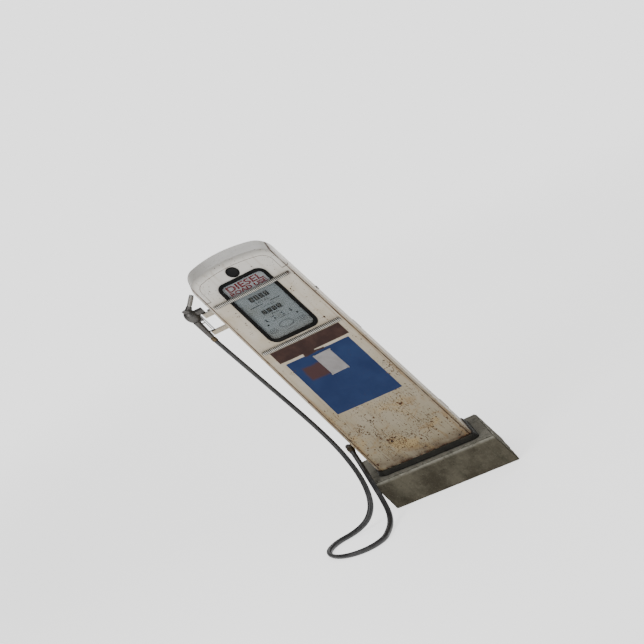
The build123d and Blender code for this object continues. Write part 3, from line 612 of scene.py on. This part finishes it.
def join(bm, part):
    """Moves one bmesh into another."""
    mesh = bpy.data.meshes.new("part")
    part.to_mesh(mesh)
    part.free()
    gather(bm, mesh, Matrix.Identity(4))


def turns(count, first=0.0):
    """Angles of a whole turn in equal steps."""
    return [first + 2 * math.pi * k / count for k in range(count)]


def tube(points, radius, segments, closed_ends=True):
    """A round tube along points, as a bmesh with a UV map: u along in metres, v around."""
    bm = bmesh.new()
    uv_layer = bm.loops.layers.uv.new("UVMap")
    points = [Vector(p) for p in points]
    lengths = [0.0]
    for a, b in zip(points, points[1:]):
        lengths.append(lengths[-1] + (b - a).length)
    normal = None
    rings = []
    for i, p in enumerate(points):
        ahead = points[min(i + 1, len(points) - 1)] - points[max(i - 1, 0)]
        ahead.normalize()
        if normal is None:
            normal = ahead.orthogonal().normalized()
        normal = (normal - ahead * normal.dot(ahead)).normalized()
        across = ahead.cross(normal)
        rings.append([bm.verts.new(p + (normal * math.cos(t) + across * math.sin(t)) * radius)
                      for t in turns(segments)])
    for i, (low, high) in enumerate(zip(rings, rings[1:])):
        for k in range(segments):
            after = (k + 1) % segments
            face = bm.faces.new((low[k], low[after], high[after], high[k]))
            near, far = k / segments, (k + 1) / segments
            corners = ((lengths[i], near), (lengths[i], far), (lengths[i + 1], far), (lengths[i + 1], near))
            for loop, corner in zip(face.loops, corners):
                loop[uv_layer].uv = corner
    if closed_ends:
        bm.faces.new(list(reversed(rings[0])))
        bm.faces.new(rings[-1])
    return bm


def turned(profile, start, along, segments):
    """A turned piece: (distance along, radius) pairs round a line from start."""
    along = Vector(along).normalized()
    points = [Vector(start) + along * d for d, _ in profile]
    side = along.orthogonal().normalized()
    across = along.cross(side)
    bm = bmesh.new()
    rings = []
    for p, (_, r) in zip(points, profile):
        rings.append([bm.verts.new(p + (side * math.cos(t) + across * math.sin(t)) * r)
                      for t in turns(segments)])
    for low, high in zip(rings, rings[1:]):
        for k in range(segments):
            bm.faces.new((low[k], low[(k + 1) % segments], high[(k + 1) % segments], high[k]))
    bm.faces.new(list(reversed(rings[0])))
    bm.faces.new(rings[-1])
    return bm


def dome_screws(name, places, radius):
    """Dome-head screws in the left side at several places."""
    outward = Vector((-1, 0, 0))
    height = radius * 0.55
    dome = [(height * math.sin(a), radius * math.cos(a)) for a in (0.0, 0.35, 0.7, 1.05, 1.4)]
    bm = bmesh.new()
    for place in places:
        join(bm, turned([(-radius * 0.1, radius)] + dome, place, outward, 20))
    add_piece(name, bm, MATERIALS["dull_steel"], "root")


def text_mesh(body, size, depth, bold):
    """Flat letters as a mesh in the XY plane, centred on the origin."""
    curve = bpy.data.curves.new("letters", "FONT")
    curve.body = body
    curve.size = size
    curve.extrude = depth
    curve.offset = bold
    curve.resolution_u = 4
    curve.align_x, curve.align_y = "CENTER", "CENTER"
    holder = bpy.data.objects.new("letters", curve)
    bpy.context.scene.collection.objects.link(holder)
    bpy.context.view_layer.update()
    mesh = bpy.data.meshes.new_from_object(holder)
    bpy.data.objects.remove(holder)
    bpy.data.curves.remove(curve)
    return mesh


def gather(bm, mesh, matrix):
    """Moves a mesh into a bmesh at a place."""
    mesh.transform(matrix)
    bm.from_mesh(mesh)
    bpy.data.meshes.remove(mesh)


def facing_front(x, y, z):
    """Turns the XY plane to face -Y at a place."""
    return Matrix.Translation((x, y, z)) @ Matrix.Rotation(math.radians(90), 4, "X")


# --- number wheels and the dial -----------------------------------------------------------
def drum_digits(name, box, shown, size, body, material):
    """Ten figures round a number wheel, bent to it, with the shown one at the window."""
    low, high = box
    middle = [(a + b) / 2 for a, b in zip(low, high)]
    radius = (high[2] - low[2]) / 2 + 0.00025
    bands, narrow, bold = 12, 0.86, 0.0004
    bm = bmesh.new()
    for digit in range(10):
        figure = bmesh.new()
        gather(figure, text_mesh(str(digit), size, 0.0, bold), Matrix.Diagonal((narrow, 1.0, 1.0, 1.0)))
        for i in range(1 - bands // 2, bands // 2):
            bmesh.ops.bisect_plane(figure, geom=figure.verts[:] + figure.edges[:] + figure.faces[:],
                                   plane_co=(0, i * size / bands, 0), plane_no=(0, 1, 0))
        turn = 2 * math.pi * (digit - shown) / 10
        for vert in figure.verts:
            angle = vert.co.y / radius + turn
            vert.co = Vector((middle[0] + vert.co.x, middle[1] - radius * math.cos(angle),
                              middle[2] + radius * math.sin(angle)))
        join(bm, figure)
    add_piece(name, bm, material, body)


def make_figures():
    """The figures on every number wheel, with the price's on one body that doesn't turn."""
    white = printed("figure_white", (0.150, 0.138, 0.115))
    black = printed("figure_black", (0.010, 0.010, 0.010))
    for kind, shown in (("money", "0375"), ("litres", "0500")):
        for i, digit in enumerate(shown):
            node = f"{kind}_wheel_{4 - i}"
            drum_digits(f"{node}_figures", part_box(node), int(digit), 0.024, node, white)
    low, high = PRICE_WHEELS
    for i, digit in enumerate("0750"):
        x = low[0] + PRICE_HALF_W + PRICE_PITCH * i
        spot = ((x - PRICE_HALF_W, low[1], low[2]), (x + PRICE_HALF_W, high[1], high[2]))
        drum_digits(f"price_figure_{4 - i}", spot, int(digit), 0.021, "root", black)


# printed on the dial: words (text, size, x, z), rules (x, z, width, height), dots (x, z, radius, sides)
DIAL_WORDS = (("T O T A L", 0.0185, -0.006, 1.3985), ("P R I C E", 0.0110, 0.002, 1.3035))
DIAL_RULES = ((-0.052, 1.381, 0.076, 0.0046), (0.060, 1.381, 0.060, 0.0046), (0.004, 1.2600, 0.112, 0.0020))
DIAL_DOTS = ([(x, 1.2480, 0.006, 24) for x in (-0.085, 0.091)] +
             [(x, 1.2700, 0.0022, 12) for x in (-0.052, 0.0, 0.052)])
NOTES_X, NOTES_PITCH, NOTES_H = 0.088, 0.0068, 0.0024


def add_rule(bm, x, y, z, width, height):
    """A flat printed bar on the dial."""
    bmesh.ops.create_grid(bm, x_segments=1, y_segments=1, size=0.5,
                          matrix=facing_front(x, y, z) @ Matrix.Diagonal((width, height, 1, 1)))


def make_dial_print():
    """Words, lines, rings and dots printed on the dial, all plain and generic."""
    y = DIAL_Y - 0.0003
    raised = y - 0.0002
    dark = printed("dial_ink", (0.006, 0.006, 0.007))
    faint = printed("faded_ink", (0.034, 0.036, 0.046))
    words = bmesh.new()
    for text, size, x, z in DIAL_WORDS:
        gather(words, text_mesh(text, size, 0.0001, 0.0006), facing_front(x, y, z))
    for x, z, width, height in DIAL_RULES:
        add_rule(words, x, y, z, width, height)
    for x, z, radius, segments in DIAL_DOTS:
        bmesh.ops.create_circle(words, cap_ends=True, segments=segments, radius=radius,
                                matrix=facing_front(x, raised, z))
    add_piece("dial_print", words, dark, "root")

    small = bmesh.new()
    gather(small, text_mesh("L I T R E S", 0.0180, 0.0001, 0.0003), facing_front(0.002, y, 1.3620))
    for row in range(5):
        for side in (-1, 1):
            width = 0.050 - 0.006 * ((3 * row + side) % 4)
            add_rule(small, side * NOTES_X, y, OVAL_Z - NOTES_PITCH * row, width, NOTES_H)
    add_rule(small, OVAL_X, y, 1.1780, 0.060, 0.0022)
    add_piece("dial_small_print", small, faint, "root")

    ring = bmesh.new()
    for half_w, half_h, radius in ((0.041, 0.0225, 0.0012), (0.036, 0.018, 0.0006)):
        line = [(half_w * math.cos(t), raised, OVAL_Z + half_h * math.sin(t)) for t in turns(72)]
        join(ring, tube(line + line[:1], radius, 8, False))
    add_piece("dial_oval", ring, faint, "root")

    frames = bmesh.new()
    for z, half_h in WINDOW_ROWS:
        for i in range(4):
            x = WINDOW_PITCH * (i - 1.5)
            left, right = x - WINDOW_HALF_W, x + WINDOW_HALF_W
            corners = [(left, z - half_h), (right, z - half_h), (right, z + half_h), (left, z + half_h)]
            for (ax, az), (bx, bz) in zip(corners, corners[1:] + corners[:1]):
                join(frames, tube([(ax, y - 0.0006, az), (bx, y - 0.0006, bz)], RIM_R, 8))
    add_piece("wheel_window_frames", frames, printed("window_rim", (0.24, 0.245, 0.255)), "root")


def make_grade_sign():
    """The fuel's name in red on the upper plate, over a smaller line half hidden by the bar."""
    red = printed("sign_red", (0.19, 0.004, 0.008))
    y = SIGN_Y - 0.0004
    letters = bmesh.new()
    for text, size, z, wide in (("DIESEL", 0.054, 1.5430, 1.38), ("ROAD USE", 0.033, 1.5080, 1.42)):
        gather(letters, text_mesh(text, size, 0.0003, 0.0014),
               facing_front(0, y, z) @ Matrix.Diagonal((wide, 1, 1, 1)))
    add_piece("sign_letters", letters, red, "root")


# --- the front's paper --------------------------------------------------------------------
def make_paper():
    """A sheet of paper taped to the front, a little askew, with lifted corners."""
    steps_x, steps_z = 24, 34
    bm = bmesh.new()
    grid = []
    for j in range(steps_z + 1):
        row = []
        for i in range(steps_x + 1):
            u, v = i / steps_x - 0.5, j / steps_z - 0.5
            x = NOTE_X + u * NOTE_W * math.cos(NOTE_TILT) - v * NOTE_H * math.sin(NOTE_TILT)
            z = NOTE_Z + u * NOTE_W * math.sin(NOTE_TILT) + v * NOTE_H * math.cos(NOTE_TILT)
            corner = max(0.0, abs(u) + abs(v) - 0.82)
            lift = 0.0006 + 0.030 * corner ** 2 + 0.0009 * math.sin(5 * u + 7 * v) ** 2
            row.append(bm.verts.new((x, front_y(x) - lift, z)))
        grid.append(row)
    for low, high in zip(grid, grid[1:]):
        for i in range(steps_x):
            bm.faces.new((low[i], low[i + 1], high[i + 1], high[i]))
    thicken(add_piece("taped_note", bm, paper(), "root"), SHEET_T)


def make_tape():
    """A short strip of old tape across each corner of the paper."""
    s = Surface("old_tape")
    tone = s.mix(s.noise(120, 3), (0.20, 0.19, 0.18), (0.15, 0.14, 0.12))
    tape = s.finish(tone, 0.35, s.bump(s.noise(260, 3), 0.0003, 0.5))
    steps = 6
    strips = bmesh.new()
    for side_x, side_z in ((-1, 1), (1, 1), (-1, -1), (1, -1)):
        corner_x = NOTE_X + side_x * NOTE_W * 0.46
        corner_z = NOTE_Z + side_z * NOTE_H * 0.47
        turn = math.radians(45 * side_x * side_z)
        strip = []
        for v in (-TAPE_HALF_W, TAPE_HALF_W):
            line = []
            for k in range(steps + 1):
                u = (k / steps - 0.5) * TAPE_L
                x = corner_x + u * math.cos(turn) - v * math.sin(turn)
                z = corner_z + u * math.sin(turn) + v * math.cos(turn)
                line.append(strips.verts.new((x, front_y(x) - 0.0021, z)))
            strip.append(line)
        for k in range(steps):
            strips.faces.new((strip[0][k], strip[0][k + 1], strip[1][k + 1], strip[1][k]))
    thicken(add_piece("note_tape", strips, tape, "root"), SHEET_T)


# --- the seam round the front and rear ----------------------------------------------------
def seam_line():
    """Half of the front cover's outline, from its foot up the side and over the shoulder to the middle."""
    line = [(COVER_HALF_W, z) for z in (COVER_FOOT, 0.65, 1.10, SEAM_TOP)]
    line += [(ARCH_HALF_W, SEAM_TOP), (ARCH_HALF_W, SHOULDER_Z)]
    turn = math.atan2(SHOULDER_Z - CROWN_Z, ARCH_HALF_W - SHOULDER_R)
    centre_x = ARCH_HALF_W - SHOULDER_R
    shoulder_steps, crown_steps = 12, 16
    for k in range(1, shoulder_steps + 1):
        angle = turn * k / shoulder_steps
        line.append((centre_x + SHOULDER_R * math.cos(angle), SHOULDER_Z + SHOULDER_R * math.sin(angle)))
    for k in range(1, crown_steps + 1):
        angle = turn + (math.pi / 2 - turn) * k / crown_steps
        line.append((ARCH_R * math.cos(angle), CROWN_Z + ARCH_R * math.sin(angle)))
    return line


def make_seam_dirt():
    """Old filler and dirt in the seam round the front cover and the rear panels."""
    s = Surface("seam_dirt")
    tone = s.mix(s.step(s.noise(60, 5), 0.35, 0.65), (0.020, 0.014, 0.010), (0.085, 0.052, 0.030))
    dirt = s.finish(tone, 0.9, s.bump(s.noise(300, 4), 0.0006, 0.6), Specular_IOR_Level=0.1)
    bead_r, sunk = 0.0015, 0.0008
    for name, face in (("front_seam_dirt", 1), ("rear_seam_dirt", -1)):
        bm = bmesh.new()
        for side in (-1, 1):
            points = [(side * x, face * (front_y(x) + corner_drop(x) + sunk), z) for x, z in seam_line()]
            join(bm, tube(points, bead_r, 8))
        add_piece(name, bm, dirt, "root")


def corner_drop(x):
    """How far the rounded vertical edge has fallen away from the bowed face at x."""
    inside = abs(x) - (HALF_W - EDGE_R)
    return 0.0 if inside <= 0 else EDGE_R - math.sqrt(EDGE_R ** 2 - inside ** 2)


# --- nozzle, hose and fittings ------------------------------------------------------------
def spline_through(route):
    """Points along the smooth NURBS line that a route's points control."""
    curve = bpy.data.curves.new("route", "CURVE")
    curve.dimensions = "3D"
    curve.resolution_u = 24
    spline = curve.splines.new("NURBS")
    spline.points.add(len(route) - 1)
    for point, place in zip(spline.points, route):
        point.co = (*place, 1)
    spline.order_u = 3
    spline.use_endpoint_u = True
    holder = bpy.data.objects.new("route", curve)
    bpy.context.scene.collection.objects.link(holder)
    bpy.context.view_layer.update()
    line = bpy.data.meshes.new_from_object(holder)
    points = [v.co.copy() for v in line.vertices]
    bpy.data.objects.remove(holder)
    bpy.data.meshes.remove(line)
    return points


def make_hose():
    """The hose along its route, in place of the frame's hose."""
    path = spline_through(HOSE_ROUTE)
    hose = new_object("fuel_hose", tube(path, HOSE_D / 2, 28), hose_rubber())
    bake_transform(hose)
    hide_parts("hose")


def make_spout_spring():
    """A wire spring wound round the spout, which keeps it from kinking."""
    start, end = Vector(SPRING_START), Vector(SPRING_END)
    along = (end - start).normalized()
    side = along.orthogonal().normalized()
    across = along.cross(side)
    steps = 18
    first, last = 0.006, (end - start).length - 0.010
    line = []
    for k in range(SPRING_TURNS * steps + 1):
        angle = 2 * math.pi * k / steps
        at = start + along * (first + (last - first) * k / (SPRING_TURNS * steps))
        line.append(at + (side * math.cos(angle) + across * math.sin(angle)) * SPRING_R)
    wire = tube(line, SPRING_WIRE_R, 8)
    add_piece("spout_spring", wire, MATERIALS["rusty_steel"], "nozzle")


def make_fittings():
    """Two hexagon nuts on the swivel, and the screws of the bracket and the elbow's flange."""
    low, high = SWIVEL
    x = (low[0] + high[0]) / 2
    nut_r = 0.0182
    nut = [(-0.005, nut_r - 0.001), (-0.004, nut_r), (0.004, nut_r), (0.005, nut_r - 0.001)]
    nuts = bmesh.new()
    for rise in (0.006, 0.019):
        join(nuts, turned(nut, (x, 0, low[2] + rise), (0, 0, 1), 6))
    add_piece("swivel_nuts", nuts, MATERIALS["old_brass"], "nozzle")
    levels = (BRACKET[0][2] + 0.008, 1.372, BRACKET[1][2] - 0.008)
    places = [(-HALF_W - 0.0062, y, z) for y in (-0.016, 0.016) for z in levels]
    dome_screws("bracket_screws", places, SCREW_R)
    corners = turns(4, math.radians(45))
    around = [(FLANGE_SCREWS_R * math.cos(a), FLANGE_SCREWS_R * math.sin(a)) for a in corners]
    places = [(-HALF_W - 0.0082, FLANGE_Y + y, FLANGE_Z + z) for y, z in around]
    dome_screws("flange_screws", places, SCREW_R)


def make_louvres():
    """Pressed hoods over the service door's slots."""
    across, upward = 18, 6
    bm = bmesh.new()
    for base in LOUVRE_BASES:
        for row in range(LOUVRE_ROWS):
            low = base + LOUVRE_PITCH * row - 0.003
            rings = []
            for i in range(across + 1):
                u = i / across - 0.5
                x = u * LOUVRE_W
                fade = min(1.0, (0.5 - abs(u)) * 14)
                ring = []
                for k in range(upward + 1):
                    t = k / upward
                    out = LOUVRE_OUT * math.sin(math.pi * 0.5 * (1 - t)) * fade
                    ring.append(bm.verts.new((x, -front_y(x) + 0.0004 + out, low + LOUVRE_H * t)))
                rings.append(ring)
            for a, b in zip(rings, rings[1:]):
                for k in range(upward):
                    bm.faces.new((a[k], b[k], b[k + 1], a[k + 1]))
    thicken(add_piece("door_louvres", bm, MATERIALS["cream_side"], "door"), 0.0012)


def make_plinth():
    """The concrete plinth with worn, chipped edges and a rough skin."""
    low, high = PLINTH
    size = [b - a for a, b in zip(low, high)]
    centre = [(a + b) / 2 for a, b in zip(low, high)]
    step, soft, chip_depth, inset, on_face, ground = 0.008, 0.011, 0.020, 0.0026, 1e-5, 1e-4
    bm = bmesh.new()
    bmesh.ops.create_cube(bm, size=1.0)
    for vert in bm.verts:
        vert.co = Vector([a + (c + 0.5) * s for a, c, s in zip(low, vert.co, size)])
    for axis in range(3):
        cuts = int(size[axis] / step)
        for i in range(1, cuts):
            spot, normal = Vector((0, 0, 0)), Vector((0, 0, 0))
            spot[axis] = low[axis] + i * size[axis] / cuts
            normal[axis] = 1
            bmesh.ops.bisect_plane(bm, geom=bm.verts[:] + bm.edges[:] + bm.faces[:], plane_co=spot,
                                   plane_no=normal)
    for vert in bm.verts:
        p = vert.co.copy()
        near = [min(p[i] - low[i], high[i] - p[i]) for i in range(3)]
        if p.z < 0.02:
            near[2] = 1.0
        chip = max(0.0, noise.noise(p * 9.0) + 0.55 * noise.noise(p * 31.0) - 0.12)
        reach = soft + chip_depth * chip
        rough = 0.0011 * noise.noise(p * 60.0) + 0.0022 * noise.noise(p * 17.0)
        move = Vector((0, 0, 0))
        for i in range(3):
            if near[i] < on_face:
                away = 1 if p[i] > centre[i] else -1
                t = max(0.0, 1 - min(near[:i] + near[i + 1:]) / reach)
                worn = reach * (1 - math.sqrt(max(0.0, 1 - t * t))) * 0.8
                move[i] = away * (rough - inset - worn)
        if p.z < ground:
            move.z = 0
        vert.co = p + move
    plinth = add_piece("weathered_plinth", bm, concrete(), "root")
    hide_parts("concrete_plinth")


# --- which material each node has ---------------------------------------------------------
MATERIALS = {
    "cream_front": enamel("cream_front", front=True),
    "cream_side": enamel("cream_side"),
    "bar_upper": fluted("bar_upper", rust_from=0.185),
    "bar_lower": fluted("bar_lower"),
    "dull_steel": metal("dull_steel", (0.42, 0.41, 0.39), 0.42, 0.10),
    "rusty_steel": metal("rusty_steel", (0.50, 0.47, 0.43), 0.45, 0.35, scale=120),
    "cast_iron": metal("cast_iron", (0.14, 0.13, 0.12), 0.55, 0.25),
    "cast_aluminium": metal("cast_aluminium", (0.55, 0.55, 0.54), 0.46, 0.05),
    "nozzle_metal": metal("nozzle_metal", (0.105, 0.100, 0.095), 0.44, 0.16, scale=90),
    "spout_metal": metal("spout_metal", (0.22, 0.215, 0.205), 0.42, 0.12, scale=90),
    "old_brass": metal("old_brass", (0.120, 0.092, 0.058), 0.5, 0.14, scale=90),
    "old_copper": metal("old_copper", (0.45, 0.22, 0.12), 0.38, 0.05),
    "gasket": rubber("gasket_rubber"),
    "belt": rubber("belt_rubber", dust=0.2),
    "foot": dark_paint("foot_paint", (0.011, 0.0105, 0.008), (0.040, 0.034, 0.025), z_edge=0.208),
    "frame": dark_paint("frame_primer", (0.075, 0.080, 0.078), (0.16, 0.09, 0.05)),
    "machine": dark_paint("machine_paint", (0.085, 0.115, 0.105), (0.05, 0.045, 0.04)),
    "bracket": enamel("bracket_cream"),
    "drum": printed("drum_black", (0.003, 0.003, 0.003), 0.6),
    "price_drum": printed("drum_pale", (0.36, 0.375, 0.39), 0.6),
    "dial": dial_enamel("dial_enamel", (0.262, 0.264, 0.272)),
    "sign": dial_enamel("sign_enamel", (0.44, 0.405, 0.415), 0.08),
    "pane": window_pane(),
    "lens": rubber("porthole_glass", (0.004, 0.004, 0.004), 0.05),
}
MATERIALS["lens"].node_tree.nodes["Principled BSDF"].inputs["Coat Weight"].default_value = 0.10
NODE_MATERIALS = {
    "cream_front": ["front_cover"],
    "cream_side": ["hood", "side_panel_left", "side_panel_right", "rear_panel", "rear_door"],
    "bracket": ["nozzle_bracket"],
    "bar_upper": ["trim_bar_upper"],
    "bar_lower": ["trim_bar_lower"],
    "dull_steel": ["anchor_bolts", "register_cheeks", "register_shafts", "lamp_holder", "suction_pipe",
                   "meter_shaft", "cover_screws", "door_hinge_brackets", "door_hinge_leaves", "door_lock",
                   "trigger_lever", "reset_knob"],
    "cast_iron": ["motor_pulley", "pump_rotor", "outlet_elbow"],
    "cast_aluminium": ["meter"],
    "spout_metal": ["nozzle_spout"],
    "nozzle_metal": ["nozzle_body"],
    "old_brass": ["hose_swivel", "hose_coupling", "valve_stem"],
    "old_copper": ["fuel_pipes"],
    "gasket": ["window_gasket", "porthole_grommet"],
    "belt": ["drive_belt"],
    "foot": ["foot_tray", "switch_lever"],
    "frame": ["frame_posts", "frame_rails", "deck_plate", "register_shelf"],
    "machine": ["motor", "pump_case", "air_separator", "price_variator"],
    "price_drum": ["price_wheels"],
    "drum": [f"{kind}_wheel_{i}" for kind in ("money", "litres") for i in range(1, 5)],
    "dial": ["dial_plate"],
    "sign": ["grade_plate"],
    "pane": ["window_glass"],
    "lens": ["porthole_lens", "dial_lamp"],
}


def dress_nodes():
    """Gives every CAD node its material; its own shape stays."""
    for material, nodes in NODE_MATERIALS.items():
        for node in nodes:
            for slot in NODES[node].material_slots:
                slot.material = MATERIALS[material]


def make_floor():
    """A wide pale floor."""
    bpy.ops.mesh.primitive_plane_add(size=800)
    floor = bpy.context.object
    floor.name = "floor"
    floor.data.materials.append(floor_paint())


make_camera()
make_hose()
make_light()
make_floor()
dress_nodes()
make_plinth()
make_figures()
make_dial_print()
make_grade_sign()
make_paper()
make_tape()
make_seam_dirt()
make_spout_spring()
make_fittings()
make_louvres()
